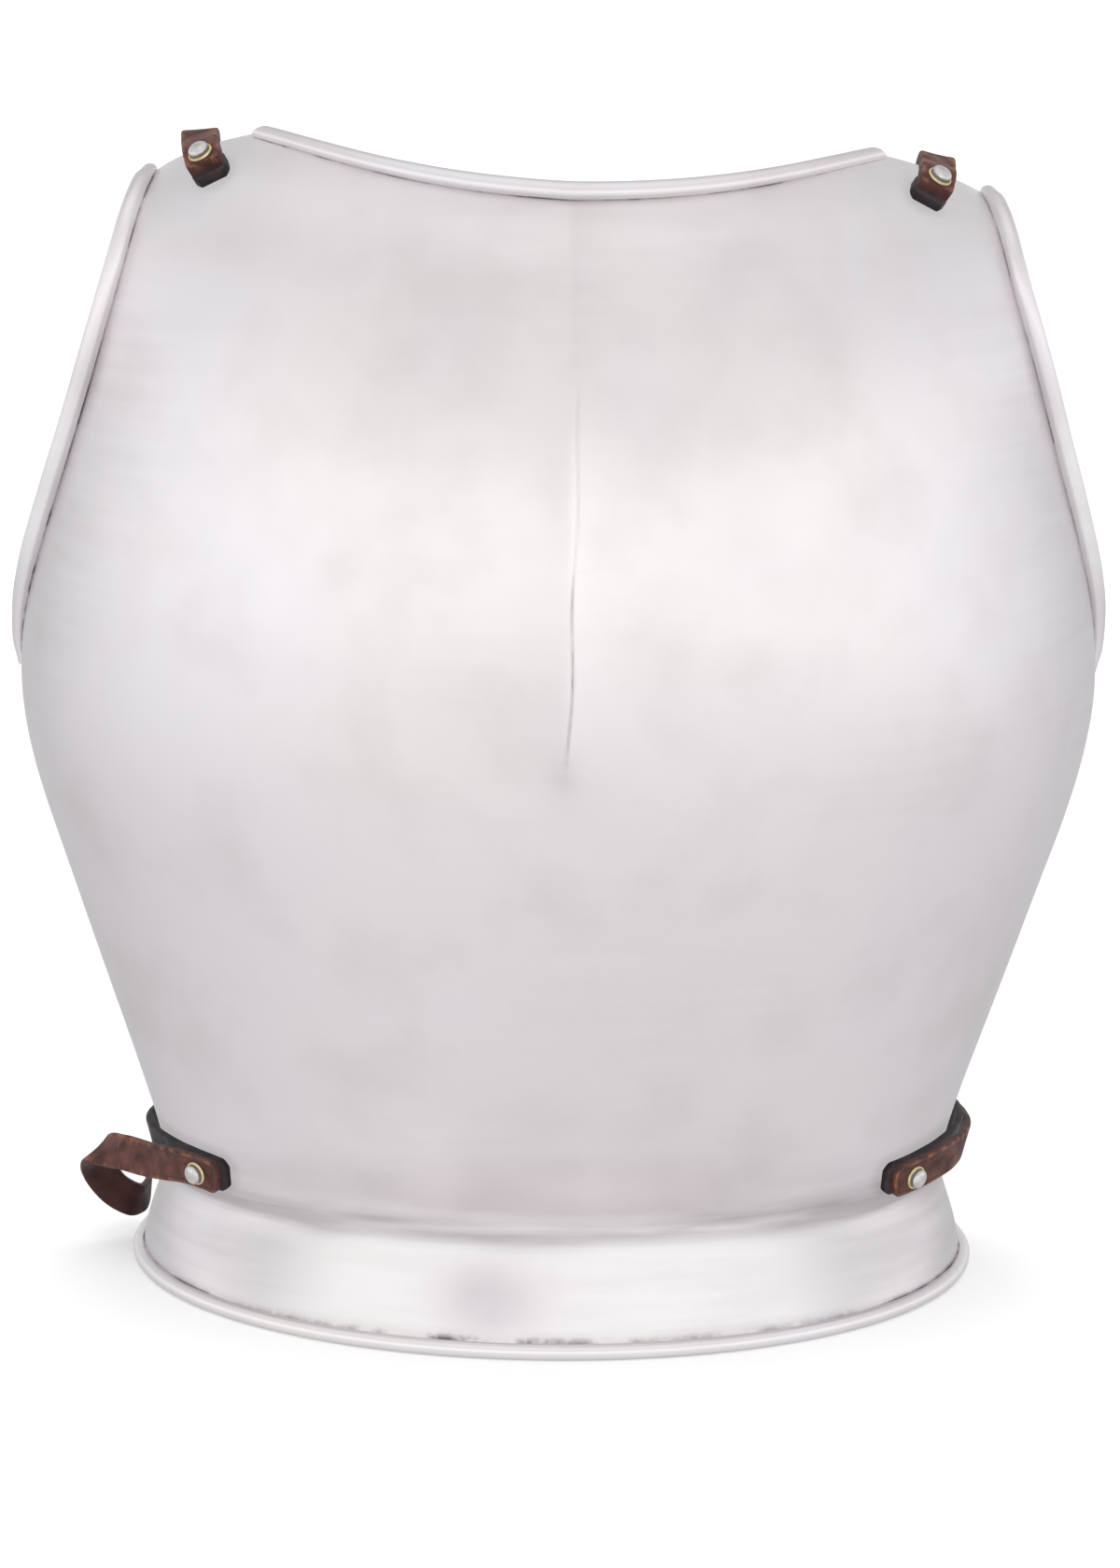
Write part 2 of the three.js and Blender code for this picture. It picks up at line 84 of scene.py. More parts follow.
# A row for each section, from the flange's rim up to the shoulders. height and front: height and depth on
# the centre line. edge_x and edge_y: the section's end. edge_drop: how far that end lies below the centre.
# wrap: degrees turned from the centre line to the end. ridge: how far the keel stands out.
SECTION_COLUMNS = ("height", "front", "edge_x", "edge_y", "edge_drop", "wrap", "ridge")
SECTIONS = (
    (2.7, -125.5, 144.5, 12, 0, 104, 0),
    (18, -111.5, 142.5, 2, -1, 102, 0),
    (28, -102.5, 139.6, -5, -4, 100, 0),
    (36, -98, 138.8, -9, -5, 99, 0),
    (45, -99.5, 141, -7, -5, 98, 0),
    (60, -107, 146.6, -2, -4, 96, 0),
    (100, -126, 160, 3, 0, 94, 0),
    (150, -142.5, 176.5, 4, 0, 93, 0),
    (190, -150.5, 188, 3, 2, 92, 0),
    (219, -153, 191.5, 0, 4, 90, 2.2),
    (245, -153, 189, -13, 7, 84, 3.6),
    (268, -151, 184, -25, 10, 78, 4),
    (305, -145, 173, -43, 12, 68, 3.4),
    (337, -135, 163, -54, 12, 60, 1.8),
    (365, -121.5, 154, -56, 10, 54, 1.4),
    (389, -104, 146.5, -48, 11, 50, 1.2),
    (415, -70, 140.5, -24, 24.5, 49, 1),
)
RIM_HEIGHT = SECTIONS[0][0]
TOP_HEIGHT = SECTIONS[-1][0]

# The plate's mesh: distances from the keel of the columns close to it, and numbers of even columns and rows
KEEL_COLUMNS = (0.4, 0.9, 1.6, 2.6, 3.8, 5.2, 7, 9, 11.5, 14.5, 18, 22, 26)
HALF_GIRTH = 210
SIDE_COLUMNS = 75
FLANGE_TOP = 60
FLANGE_ROWS = 32
BODY_ROWS = 149
EDGE_BULGE = 0.35
# How far hammering leaves the plate off its even form: depth, wavelength and seed of each noise
HAMMERING = ((0.32, 70, 1), (0.12, 32, 2))

# Edge rolls: radii at equal steps from one end to the other, and numbers of stations
NECK_RADII = (2.6, 3.1, 3.3, 3.1, 2.6)
ARM_RADII = (1.9, 3.3, 3.6, 3.5, 3.4, 3.3, 3.2)
RIM_RADII = (2.7, 2.7)
NECK_STATIONS = 170
ARM_STATIONS = 150
RIM_STATIONS = 260
ROLL_UNEVEN = 0.03
ROLL_COOL = 0.5
# Shares of a roll's turn: even steps up to the lip, then closer ones. The lip bites into the plate's face.
TURN_STEPS = 24
TURN_END = 0.84
LIP_STEPS = (0.88, 0.91, 0.935, 0.955, 0.97, 0.985, 1)
LIP_BITE = 0.3
# Dirt and painted shade under the lip: how high they reach off the plate, and their strength
LIP_GRIME_AND_SHADE = 0.45
LIP_DARK = 0.8
# The neck's roll is pressed flatter than round and its ends are cut off aslant
NECK_FLAT = 0.85
NECK_CUT = 5.5
NECK_CUT_LENGTH = 8
# The arms' rolls flatten at their ends, and carry a painted highlight half way up. The rim's roll is painted
# a little lighter.
ARM_END_FLAT = 0.8
ARM_END_LENGTH = 10
ARM_HIGHLIGHT = 0.7
RIM_HIGHLIGHT = 0.2
# A point inside the chest: its height, and how far it lies behind the plate's centre line
CHEST_HEIGHT = 200
CHEST_DEPTH = 80

# Leather and fasteners
STRAP_WIDTH = 12.7
SHOULDER_LEATHER = 4.2
SHOULDER_GAP = 0.5
WAIST_LEATHER = 2.6
LAYER_GAP = 0.3
WASHER_THICKNESS = 0.9
SHOULDER_RIVET = {"across": 0.784, "height": 398.3, "lean": 0.0036, "lower_gap": 1.15}
WAIST_RIVET = {"across": 0.6, "height": 45, "lower_gap": 1.6}
# How far the waist's straps climb from the rivet to the plate's side edge
WAIST_CLIMB = {-1: 1.6, 1: 6}

# Straps: samples of their curve, steps along their ends and between them, the ends' taper, and unevenness
SPAN_SAMPLES = 40
END_STEPS = (0, 0.25, 0.6, 1, 1.5, 2, 2.6, 3.2, 3.9, 4.6, 5.4)
END_LENGTH = 6.2
STRAP_STEP = 0.9
END_TAPER = 3.4
STRAP_UNEVEN = 0.12
# Edges sink a little where they are worn, and are rubbed paler over a short way
WORN_EDGE = 1.2
WORN_SINK = 0.25
RUBBED_EDGE = 1.3
FLESH_RUBBED = 0.1
CUT_DARK = 0.75
# The line tooled along the waist straps' edges: it fades out along the strap
TOOL_INSET = 1.9
TOOL_HALF_WIDTH = 0.32
TOOL_DEPTH = 0.4
TOOL_DARK = 0.9
TOOL_END = 36
TOOL_FADE = 12
# Shade on the plate beside the straps, by the distance from their middle line
STRAP_SHADE = 0.3
SHADE_FROM = 6.6
SHADE_SPREAD = 2.2
SHADE_SAMPLES = 12
SHADE_END_GAP = 5

# Rivets and washers as lathe profiles, (radius, height). The tail's heights count from inside the plate, the
# head's from its seat on the washer, and a washer's from its lower and its upper face.
LATHE_SEGMENTS = 48
RIVET_TAIL = ((0.4, -1.2), (2.4, -1.15), (3.1, -0.8), (3.3, -0.3), (3.2, 0), (2, 0))
RIVET_NECK = ((2, -0.1), (2.9, 0), (3.3, 0.2))
RIVET_TOP = (0.15, 2.4)
DOME_RADIUS = 3.5
DOME_FROM = 0.75
DOME_RISE = 1.65
DOME_DEGREES = (0, 14, 28, 42, 56, 70, 82)
RIVET_DENT = 0.07
DENT_WAVELENGTH = 1.8
WASHER_LOWER = ((2.2, 0), (4.0, 0), (4.2, 0.12), (4.25, 0.4))
WASHER_UPPER = ((4.15, -0.15), (3.9, 0), (3.5, -0.06), (2.4, -0.12), (2.2, -0.2))

# Colours of the steel, of the dirt on it, and of its painted highlights and painted shade
WARM_STEEL = (0.81, 0.768, 0.765)
COOL_STEEL = (0.778, 0.752, 0.785)
VIOLET_STEEL = (0.795, 0.743, 0.785)
STAINED_STEEL = (0.7, 0.657, 0.662)
HIGHLIGHT_STEEL = (0.95, 0.925, 0.93)
SHADE_AND_SMUDGE_STEEL = (0.42, 0.39, 0.4)
SEAM_DIRT_AND_SHADE = (0.09, 0.085, 0.085)
RIVET_SHADE = (0.05, 0.035, 0.03)
# Brush marks run along the plate: the noise's scale by axis
BRUSHED = (0.1, 0.1, 1)
SCRATCHED = (0.12, 0.12, 1)

# Soft round marks on the plate: a dirty smudge, a painted highlight at the waist and spots of painted shade
Spot = namedtuple("Spot", "strength x x_spread height height_spread")
FLANGE_SMUDGE = Spot(1, -23, 19, 15, 11)
SMUDGE_DIRT = 0.22
WAIST_HIGHLIGHT = Spot(0.5, -32, 48, 64, 19)
DIMPLE_SHADE = Spot(0.2, -2, 5, 211, 7)
CHEST_SHADE = Spot(0.1, -28, 30, 243, 24)
BELLY_SHADE = Spot(0.1, 35, 60, 130, 70)
FLANK_SHADE = Spot(0.14, 115, 36, 203, 22)
# The height of the waist's crease, and how far its painted shade spreads upwards
CREASE_HEIGHT = 35
CREASE_ABOVE = 4.5


# Curves
def natural_spline(xs, ys):
    """Natural cubic spline through (xs, ys), straight beyond its ends."""
    xs = np.asarray(xs, float)
    ys = np.asarray(ys, float)
    count = len(xs)
    step = np.diff(xs)
    slope = np.diff(ys) / step
    matrix = np.eye(count)
    turn = np.zeros(count)
    for i in range(1, count - 1):
        matrix[i, i - 1 : i + 2] = step[i - 1], 2 * (step[i - 1] + step[i]), step[i]
        turn[i] = 6 * (slope[i] - slope[i - 1])
    bend = np.linalg.solve(matrix, turn)
    first = slope[0] - step[0] * bend[1] / 6
    last = slope[-1] + step[-1] * bend[-2] / 6

    def value(x):
        x = np.asarray(x, float)
        held = np.clip(x, xs[0], xs[-1])
        i = np.clip(np.searchsorted(xs, held), 1, count - 1)
        left = (xs[i] - held) / step[i - 1]
        right = (held - xs[i - 1]) / step[i - 1]
        arch = (left**3 - left) * bend[i - 1] + (right**3 - right) * bend[i]
        inside = left * ys[i - 1] + right * ys[i] + arch * step[i - 1] ** 2 / 6
        return inside + np.where(x < xs[0], first, last) * (x - held)

    return value


def centripetal(points, samples):
    """Catmull-Rom curve through points, with samples to each span, and the end points drawn on straight."""
    points = np.asarray(points, float)
    padded = np.concatenate([[2 * points[0] - points[1]], points, [2 * points[-1] - points[-2]]])
    shortest = 1e-2
    curve = []
    for i in range(1, len(padded) - 2):
        p0, p1, p2, p3 = padded[i - 1 : i + 3]
        spans = [np.linalg.norm(b - a) ** 0.5 for a, b in ((p0, p1), (p1, p2), (p2, p3))]
        d1 = spans[1] if spans[1] > shortest else 1
        d0 = spans[0] if spans[0] > shortest else d1
        d2 = spans[2] if spans[2] > shortest else d1
        start = ((p1 - p0) / d0 - (p2 - p0) / (d0 + d1) + (p2 - p1) / d1) * d1
        end = ((p2 - p1) / d1 - (p3 - p1) / (d1 + d2) + (p3 - p2) / d2) * d1
        t = np.linspace(0, 1, samples, endpoint=False)[:, None]
        square = (3 * (p2 - p1) - 2 * start - end) * t**2
        cube = (2 * (p1 - p2) + start + end) * t**3
        curve.append(p1 + start * t + square + cube)
    return np.concatenate([*curve, points[-1:]])


def unit(vectors):
    return vectors / np.linalg.norm(vectors, axis=-1, keepdims=True)


def run_along(points):
    """Distance along a line of points from its first one."""
    return np.concatenate([[0], np.cumsum(np.linalg.norm(np.diff(points, axis=0), axis=1))])


def smooth_step(values, low, high):
    """0 up to low, rising to 1 at high."""
    share = np.clip((np.asarray(values, float) - low) / (high - low), 0, 1)
    return share * share * (3 - 2 * share)


def smooth_fall(values, low, high):
    """1 up to low, falling to 0 at high."""
    return smooth_step(-np.asarray(values, float), -high, -low)


def window(values, low, high, fade):
    """1 between low and high, falling to 0 over fade beyond them."""
    return smooth_step(values, low - fade, low) * smooth_fall(values, high, high + fade)


def hump(values, middle, spread):
    return np.exp(-(((values - middle) / spread) ** 2))


def smooth_noise(points, wavelength, seed):
    """Soft noise from -1 to 1 at points in millimetres."""
    offset = Vector((seed * 17.3, seed * 5.1, seed * 9.7))
    return np.array([noise.noise(Vector(p) / wavelength + offset) for p in points])


# The plate's form
HEIGHTS = [row[0] for row in SECTIONS]
FORM = {
    name: natural_spline(HEIGHTS, [row[i] for row in SECTIONS])
    for i, name in enumerate(SECTION_COLUMNS)
    if name != "height"
}


def shoulder_lift(across, height):
    reach = np.abs(across)
    left = LEFT_LIFT * reach * (1 - LEFT_FALL * reach**LEFT_FALL_POWER)
    right = RIGHT_LIFT * reach**RIGHT_LIFT_POWER
    return np.where(across < 0, left, right) * smooth_step(height, UNEVEN_FROM, UNEVEN_FULL)


def corner_out(across, height):
    out = np.where(across < 0, LEFT_CORNER, RIGHT_CORNER) * np.abs(across) ** CORNER_POWER
    return out * smooth_step(height, CORNER_FROM, TOP_HEIGHT)


def form_point(across, height):
    """Point of the outer face: across runs from -1 at the section's left end over 0 at the keel to 1."""
    across, height = np.broadcast_arrays(np.asarray(across, float), np.asarray(height, float))
    wrap = np.radians(FORM["wrap"](height))
    turn = across * wrap
    x = FORM["edge_x"](height) * np.sin(turn) / np.sin(wrap) + corner_out(across, height)
    bow = (np.cos(turn) - np.cos(wrap)) / (1 - np.cos(wrap))
    edge_y = FORM["edge_y"](height)
    y = edge_y + (FORM["front"](height) - edge_y) * bow
    ridge = np.maximum(0, FORM["ridge"](height))
    keel = ridge * np.maximum(0, 1 - np.abs(x) / RIDGE_HALF_WIDTH) ** 2
    z = height - FORM["edge_drop"](height) * across**2 + shoulder_lift(across, height)
    return np.stack([x, y - keel + STANDING_SHIFT, z], axis=-1)


def form_frame(across, height):
    """Point, outward normal, direction to the right along the section, and direction up the face."""
    side_step = 0.004
    rise_step = 0.4
    right = unit(form_point(across + side_step, height) - form_point(across - side_step, height))
    rise = unit(form_point(across, height + rise_step) - form_point(across, height - rise_step))
    normal = unit(np.cross(right, rise))
    return form_point(across, height), normal, right, np.cross(normal, right)


def top_height(across):
    reach = np.minimum(1, np.abs(across) / NECK_END)
    return NECK_HEIGHT + (TOP_HEIGHT - NECK_HEIGHT) * reach**NECK_CURVE


# Meshes
def add_piece(name, vertices, faces, material, slot, node, sharp=40, mirrored=True, **attributes):
    """A piece in place of a CAD node, with named values at its vertices for its material.
    mirrored: whether polished steel shows it in its reflections."""
    mesh = bpy.data.meshes.new(name)
    mesh.from_pydata((np.asarray(vertices) * MM).tolist(), [], faces)
    for key, values in attributes.items():
        layer = mesh.attributes.new(key, "FLOAT", "POINT")
        layer.data.foreach_set("value", np.asarray(values, np.float32))
    mesh.polygons.foreach_set("use_smooth", np.ones(len(mesh.polygons), bool))
    mesh.set_sharp_from_angle(angle=math.radians(sharp))
    mesh.materials.append(material)
    piece = bpy.data.objects.new(name, mesh)
    piece.visible_glossy = mirrored
    bpy.context.scene.collection.objects.link(piece)
    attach(piece, BODY)
    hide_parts(node)


def ring_faces(rings, around, capped=True):
    """Faces of a closed tube through rings of points, each with the same number of points."""
    faces = []
    for j in range(rings - 1):
        for i in range(around):
            k = (i + 1) % around
            faces.append((j * around + i, j * around + k, (j + 1) * around + k, (j + 1) * around + i))
    if capped:
        faces.append(tuple(reversed(range(around))))
        faces.append(tuple(range((rings - 1) * around, rings * around)))
    return faces


# Materials
def new_material(name):
    material = bpy.data.materials.new(name)
    material.use_nodes = True
    nodes = material.node_tree.nodes
    return material, nodes, material.node_tree.links, nodes["Principled BSDF"]


def noise_node(nodes, links, scale, detail=4, roughness=0.5, stretch=None):
    """Noise texture in object space, in repeats per metre. stretch: scale by axis."""
    texture = nodes.new("ShaderNodeTexNoise")
    texture.inputs["Scale"].default_value = scale
    texture.inputs["Detail"].default_value = detail
    texture.inputs["Roughness"].default_value = roughness
    source = nodes.new("ShaderNodeTexCoord").outputs["Object"]
    if stretch:
        mapping = nodes.new("ShaderNodeMapping")
        mapping.inputs["Scale"].default_value = stretch
        links.new(source, mapping.inputs["Vector"])
        source = mapping.outputs["Vector"]
    links.new(source, texture.inputs["Vector"])
    return texture.outputs["Fac"]


def range_node(nodes, links, source, low, high, to_low=0.0, to_high=1.0):
    """Maps source from low..high to to_low..to_high, held at the ends."""
    mapped = nodes.new("ShaderNodeMapRange")
    mapped.inputs["From Min"].default_value = low
    mapped.inputs["From Max"].default_value = high
    mapped.inputs["To Min"].default_value = to_low
    mapped.inputs["To Max"].default_value = to_high
    links.new(source, mapped.inputs["Value"])
    return mapped.outputs["Result"]


def math_node(nodes, links, operation, first, second):
    """A sum or product of two values, each a number or a socket."""
    node = nodes.new("ShaderNodeMath")
    node.operation = operation
    for socket, value in zip(node.inputs, (first, second)):
        if isinstance(value, (int, float)):
            socket.default_value = value
        else:
            links.new(value, socket)
    return node.outputs["Value"]


def mix_node(nodes, links, factor, first, second):
    """Mixes two colours, each a tuple or a socket."""
    node = nodes.new("ShaderNodeMix")
    node.data_type = "RGBA"
    links.new(factor, node.inputs["Factor"])
    for socket, value in ((node.inputs["A"], first), (node.inputs["B"], second)):
        if isinstance(value, tuple):
            socket.default_value = (*value, 1)
        else:
            links.new(value, socket)
    return node.outputs["Result"]


def attribute_node(nodes, name):
    node = nodes.new("ShaderNodeAttribute")
    node.attribute_name = name
    return node.outputs["Fac"]


def bump_node(nodes, links, height, strength, distance):
    node = nodes.new("ShaderNodeBump")
    node.inputs["Strength"].default_value = strength
    node.inputs["Distance"].default_value = distance
    links.new(height, node.inputs["Height"])
    return node.outputs["Normal"]


def steel_material():
    """Satin polished steel: soft clouds and stains, painted highlights, painted shade streaked along brush
    marks, most in the waist's crease, with a dark smudge, and dark dirt with painted shade in the seams."""
    material, nodes, links, shader = new_material("satin_steel")
    clouds = noise_node(nodes, links, scale=15, detail=3)
    clouds = range_node(nodes, links, clouds, 0.35, 0.65, to_low=-0.35, to_high=0.35)
    cool = math_node(nodes, links, "ADD", attribute_node(nodes, "cool"), clouds)
    colour = mix_node(nodes, links, cool, WARM_STEEL, COOL_STEEL)
    colour = mix_node(nodes, links, attribute_node(nodes, "violet"), colour, VIOLET_STEEL)
    stains = range_node(nodes, links, noise_node(nodes, links, scale=26), 0.46, 0.72, to_low=0, to_high=0.6)
    colour = mix_node(nodes, links, stains, colour, STAINED_STEEL)
    brushed = noise_node(nodes, links, scale=200, stretch=BRUSHED)
    # Painted highlight, streaked along the brush marks
    rubbed = range_node(nodes, links, brushed, 0.3, 0.7, to_low=0.7, to_high=1.1)
    rubbed = math_node(nodes, links, "MULTIPLY", rubbed, attribute_node(nodes, "rubbed"))
    colour = mix_node(nodes, links, rubbed, colour, HIGHLIGHT_STEEL)
    # Painted shade and the flange's smudge, streaked along the brush marks
    crease = range_node(nodes, links, brushed, 0.3, 0.7, to_low=0.55, to_high=1.1)
    crease = math_node(nodes, links, "MULTIPLY", crease, attribute_node(nodes, "crease"))
    colour = mix_node(nodes, links, crease, colour, SHADE_AND_SMUDGE_STEEL)
    # Dirt and painted shade along the seams, broken up by noise
    broken = range_node(nodes, links, noise_node(nodes, links, scale=70, detail=5, roughness=0.65), 0.44, 0.6)
    grime = math_node(nodes, links, "MULTIPLY", attribute_node(nodes, "grime"), broken)
    colour = mix_node(nodes, links, grime, colour, SEAM_DIRT_AND_SHADE)
    links.new(colour, shader.inputs["Base Color"])
    shader.inputs["Metallic"].default_value = 1
    dull = range_node(nodes, links, noise_node(nodes, links, scale=45), 0.3, 0.7, to_low=0.285, to_high=0.36)
    dull = math_node(nodes, links, "ADD", dull, math_node(nodes, links, "MULTIPLY", grime, 0.3))
    links.new(dull, shader.inputs["Roughness"])
    scratches = noise_node(nodes, links, scale=120, detail=2, stretch=SCRATCHED)
    normal = bump_node(nodes, links, scratches, strength=0.02, distance=0.001)
    links.new(normal, shader.inputs["Normal"])
    return material


def leather_material(name, dark, light, worn, flesh, edge):
    """Waxed leather: mottled grain side, paler where rubbed, dark cut edges and a fibrous flesh side."""
    material, nodes, links, shader = new_material(name)
    mottle = range_node(nodes, links, noise_node(nodes, links, scale=160, detail=5), 0.35, 0.65)
    colour = mix_node(nodes, links, mottle, dark, light)
    patches = range_node(nodes, links, noise_node(nodes, links, scale=230), 0.42, 0.62)
    rubbed = math_node(nodes, links, "MULTIPLY", attribute_node(nodes, "worn"), patches)
    colour = mix_node(nodes, links, rubbed, colour, worn)
    fibres = mix_node(nodes, links, mottle, tuple(0.5 * part for part in flesh), flesh)
    colour = mix_node(nodes, links, attribute_node(nodes, "flesh"), colour, fibres)
    colour = mix_node(nodes, links, attribute_node(nodes, "cut"), colour, edge)
    links.new(colour, shader.inputs["Base Color"])
    dull = range_node(nodes, links, mottle, 0, 1, to_low=0.62, to_high=0.45)
    links.new(dull, shader.inputs["Roughness"])
    shader.inputs["Specular IOR Level"].default_value = 0.25
    grain = noise_node(nodes, links, scale=1500, detail=3)
    normal = bump_node(nodes, links, grain, strength=0.25, distance=0.0004)
    links.new(normal, shader.inputs["Normal"])
    return material


def metal_material(name, bright, dull, roughness):
    """Small metal parts: slightly uneven, dulled metal, with painted shade under the rim."""
    material, nodes, links, shader = new_material(name)
    clouds = range_node(nodes, links, noise_node(nodes, links, scale=500), 0.35, 0.65)
    colour = mix_node(nodes, links, clouds, bright, dull)
    colour = mix_node(nodes, links, attribute_node(nodes, "rim"), colour, RIVET_SHADE)
    links.new(colour, shader.inputs["Base Color"])
    shader.inputs["Metallic"].default_value = 1
    uneven = range_node(nodes, links, clouds, 0, 1, to_low=roughness, to_high=roughness + 0.15)
    links.new(uneven, shader.inputs["Roughness"])
    dents = noise_node(nodes, links, scale=900, detail=3)
    normal = bump_node(nodes, links, dents, strength=0.25, distance=0.0003)
    links.new(normal, shader.inputs["Normal"])
    return material


STEEL = steel_material()
LEATHER = leather_material(
    "brown_leather", dark=(0.038, 0.012, 0.01), light=(0.1, 0.03, 0.023), worn=(0.28, 0.11, 0.06),
    flesh=(0.05, 0.012, 0.01), edge=(0.045, 0.022, 0.02),
)
DARK_LEATHER = leather_material(
    "dark_leather", dark=(0.011, 0.007, 0.008), light=(0.024, 0.014, 0.017), worn=(0.05, 0.03, 0.032),
    flesh=(0.014, 0.009, 0.01), edge=(0.008, 0.006, 0.007),
)
RIVET_STEEL = metal_material("rivet_steel", (0.7, 0.68, 0.68), (0.56, 0.54, 0.54), roughness=0.24)
BRASS = metal_material("pale_brass", (0.8, 0.68, 0.42), (0.6, 0.48, 0.26), roughness=0.28)


# Marks on the plate
def spot_at(spot, x, heights):
    return spot.strength * hump(x, spot.x, spot.x_spread) * hump(heights, spot.height, spot.height_spread)


def beside_keel(x, left, right):
    """1 on the keel, fading over the lengths left and right on either side of it."""
    return np.where(x > 0, np.exp(-np.maximum(x, 0) / right), np.exp(np.minimum(x, 0) / left))


def violet_cast(x, heights):
    """Violet tarnish on the lower plate above the flange, and in the flange's smudge."""
    lower = 0.5 * smooth_fall(heights, 150, 260) * smooth_step(heights, 30, 48)
    return lower + spot_at(FLANGE_SMUDGE, x, heights)


def seam_grime(x, heights):
    """Dark dirt and painted shade on the flange along the seam of the rim's roll, most on its left front."""
    return (0.45 + 0.55 * hump(x, middle=-30, spread=32)) * smooth_fall(heights, 4.5, 6.8)


def rubbed_places(x, across, heights):
    """Painted highlights: beside the keel, on the flange around its smudge, at the waist and on the
    shoulders.
    """
    reach = np.abs(across)
    keel = 0.55 * window(heights, 230, 310, fade=25) * beside_keel(x, left=1.2, right=12)
    flange = window(heights, 8, 30, fade=4) * smooth_fall(reach, 0.4, 0.66)
    flange = flange * (1 - spot_at(FLANGE_SMUDGE, x, heights))
    shoulders = 0.4 * smooth_step(heights, 370, 402) * smooth_step(reach, 0.4, 0.7)
    return np.maximum.reduce([keel, flange, spot_at(WAIST_HIGHLIGHT, x, heights), shoulders])


def waist_shade(points, reach, heights):
    """Painted shade in the waist's crease and on the flange's ends. The crease's shade spreads down furthest
    in the middle and half way to the sides, and up furthest on the right."""
    x = points[:, 0]
    wavy = heights + 1.2 * smooth_noise(points, 24, seed=7)
    patchy = 1 + 0.3 * smooth_noise(points, 60, seed=8)
    below = 2 + 2.2 * hump(np.abs(x), middle=75, spread=28) + 2 * hump(x, middle=-10, spread=20)
    crease = patchy * hump(wavy, CREASE_HEIGHT, np.where(wavy < CREASE_HEIGHT, below, CREASE_ABOVE))
    fringe = (0.03 + 0.2 * smooth_step(reach, 0.25, 0.45)) * hump(wavy, middle=47, spread=9)
    right_fringe = 0.35 * smooth_step(x, 20, 60) * hump(wavy, middle=40, spread=5)
    flange_ends = 0.45 * smooth_step(reach, 0.29, 0.46) * smooth_fall(wavy, 34, 40)
    return crease + fringe + right_fringe + flange_ends


def keel_line_and_shade(x, heights):
    """A thin dark line down the keel, and a faint painted shade beside its upper end."""
    line = x - 0.5 * np.sin(heights / 9) - 0.02 * (heights - 240)
    strength = 0.85 * window(heights, 224, 268, fade=14) + 0.3 * window(heights, 268, 325, fade=14)
    upper = 0.12 * window(heights, 350, 420, fade=15) * beside_keel(x, left=1, right=8)
    return strength * hump(line, middle=0, spread=0.5) + upper


def shade_and_smudge_places(points, across, heights):
    """Painted shade at the waist, below the neck, towards the sides and in soft spots, a dark keel line and a
    dirty smudge.
    """
    x = points[:, 0]
    reach = np.abs(across)
    below_neck = top_height(across) - heights
    # Painted shade under the neck's roll and over the upper chest
    neck = 0.16 * hump(below_neck, middle=0, spread=11) + 0.1 * smooth_fall(below_neck, 15, 55)
    neck = neck * smooth_fall(reach, 0.3, 0.62)
    # Painted shade towards the sides
    sides = 0.24 * smooth_step(reach, 0.5, 0.95) * window(heights, 215, 350, fade=30)
    smudge = SMUDGE_DIRT * spot_at(FLANGE_SMUDGE, x, heights)
    spots = sum(spot_at(spot, x, heights) for spot in (DIMPLE_SHADE, CHEST_SHADE, BELLY_SHADE, FLANK_SHADE))
    return waist_shade(points, reach, heights) + keel_line_and_shade(x, heights) + neck + sides + smudge + spots


def strap_shade(points):
    """Soft shade on the plate close beside the straps."""
    shade = np.zeros(len(points))
    outside = LOWER_STRAP[:LOWER_STRAP_OUTSIDE]
    for side in (-1, 1):
        for stations in (waist_stations(side, outside), shoulder_lying(side, SHOULDER_BACKING)):
            path = centripetal([point for point, _ in stations], SHADE_SAMPLES)
            path = path[np.linalg.norm(path - path[0], axis=1) > SHADE_END_GAP]
            nearest = np.min([np.linalg.norm(points - place, axis=1) for place in path], axis=0)
            beside = hump(np.maximum(nearest, SHADE_FROM), SHADE_FROM, SHADE_SPREAD)
            shade = np.maximum(shade, STRAP_SHADE * beside)
    return shade


# Plate
def plate_columns():
    fine = np.array(KEEL_COLUMNS) / HALF_GIRTH
    coarse = np.linspace(fine[-1], 1, SIDE_COLUMNS + 1)[1:]
    half = np.concatenate([fine, coarse])
    return np.concatenate([-half[::-1], [0], half])


def plate_rows():
    flange = np.linspace(RIM_HEIGHT, FLANGE_TOP, FLANGE_ROWS)
    return np.concatenate([flange, np.linspace(FLANGE_TOP, TOP_HEIGHT, BODY_ROWS + 1)[1:]])


def hammered(points):
    """How far the hand-raised plate lies off its even form."""
    return sum(depth * smooth_noise(points, wavelength, seed) for depth, wavelength, seed in HAMMERING)


def plate_faces(rows, count):
    """Faces of the plate's shell, each row of which is count points outside, an edge point, count points
    inside, and another edge point."""
    around = 2 * count + 2
    faces = ring_faces(rows, around, capped=False)
    strips = [(k, 2 * count - k, 2 * count - k - 1, k + 1) for k in range(count - 1)]
    strips += [(0, 2 * count + 1, 2 * count), (count - 1, count + 1, count)]
    for start, flip in ((0, False), ((rows - 1) * around, True)):
        for strip in strips:
            face = tuple(start + k for k in strip)
            faces.append(face[::-1] if flip else face)
    return faces


